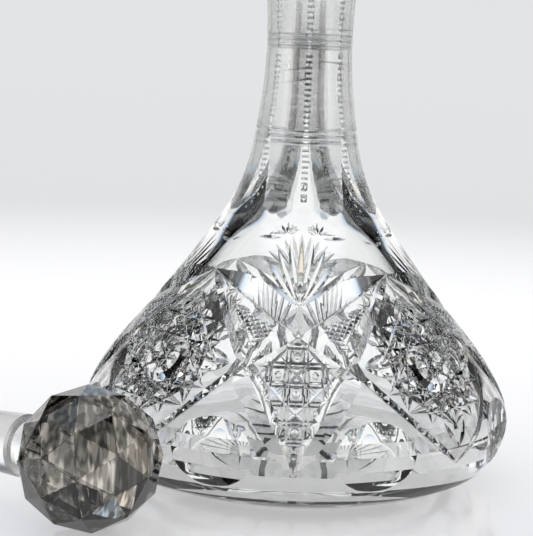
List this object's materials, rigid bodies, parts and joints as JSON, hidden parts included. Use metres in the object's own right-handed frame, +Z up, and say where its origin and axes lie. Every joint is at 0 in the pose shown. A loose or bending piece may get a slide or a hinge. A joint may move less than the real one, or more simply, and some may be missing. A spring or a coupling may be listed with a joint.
{
  "type": "cut crystal decanter",
  "caption": "Low, wide cut crystal decanter with a tall panelled neck and a flared lip; its faceted ball stopper lies loose beside it and lifts off the table.",
  "frame": {"origin": "centre of the bottle's flat base, where the bottle stands", "axes": "+Z up the bottle's axis, -Y towards the front, where the long crossed cuts face the viewer, +X to the right"},
  "size_m": [0.2166, 0.2092, 0.24],
  "materials": {
    "crystal_bottle": "clear lead crystal, wheel-cut and acid-polished",
    "crystal_stopper": "clear lead crystal, flat-faceted and polished, peg ground to a fine frost"
  },
  "bodies": {
    "decanter": {"bottle": "crystal_bottle"},
    "loose_stopper": {"stopper": "crystal_stopper"}
  },
  "joints": [
    {"name": "stopper_lift", "type": "slide", "parent": "decanter", "child": "loose_stopper", "axis": [0, 0, 1], "range_m": [0, 0.26]}
  ]
}
